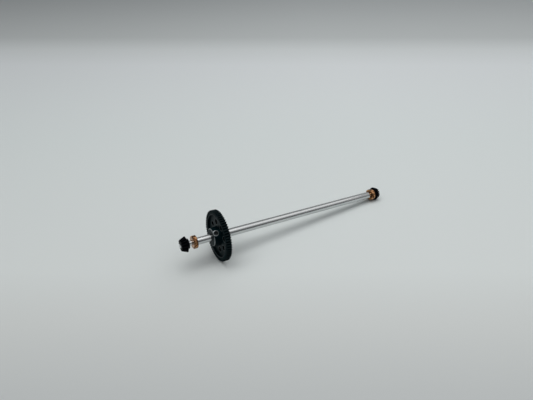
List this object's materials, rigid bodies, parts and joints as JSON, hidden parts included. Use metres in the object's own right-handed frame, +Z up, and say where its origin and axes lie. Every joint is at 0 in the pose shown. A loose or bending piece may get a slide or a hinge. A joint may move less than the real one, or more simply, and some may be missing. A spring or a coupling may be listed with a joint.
{
  "type": "central drive shaft",
  "caption": "Stepped steel drive shaft with a pierced spur gear near one end, a bevel pinion on each end and a bronze bush inside each pinion.",
  "frame": {"origin": "on the surface that it lies on, below the middle of its overall length", "axes": "+Z up from that surface; +X along the shaft's shadow towards the long end, the shaft itself sloping down 5.07 degrees towards +X because it rests on the gear's rim and the long-end pinion's rim; +Y across the shaft"},
  "size_m": [0.1554, 0.032, 0.0321],
  "materials": {
    "polished_steel": "ground and polished",
    "black_moulding": "semi-gloss as moulded",
    "black_pinion": "satin black",
    "bronze": "sintered bronze, lightly oiled"
  },
  "bodies": {
    "shaft_assembly": {"drive_shaft": "polished_steel", "spur_gear": "black_moulding", "gear_set_screw": "polished_steel", "short_end_bevel_pinion": "black_pinion", "long_end_bevel_pinion": "black_pinion"},
    "short_bush": {"short_end_bush": "bronze"},
    "long_bush": {"long_end_bush": "bronze"}
  },
  "joints": [
    {"name": "short_bush_spin", "type": "hinge", "parent": "shaft_assembly", "child": "short_bush", "pos_m": [-0.06878, 0, 0.01745], "axis": [0.9961, 0, -0.0884], "continuous": true},
    {"name": "long_bush_spin", "type": "hinge", "parent": "shaft_assembly", "child": "long_bush", "pos_m": [0.07092, 0, 0.00505], "axis": [0.9961, 0, -0.0884], "continuous": true}
  ]
}
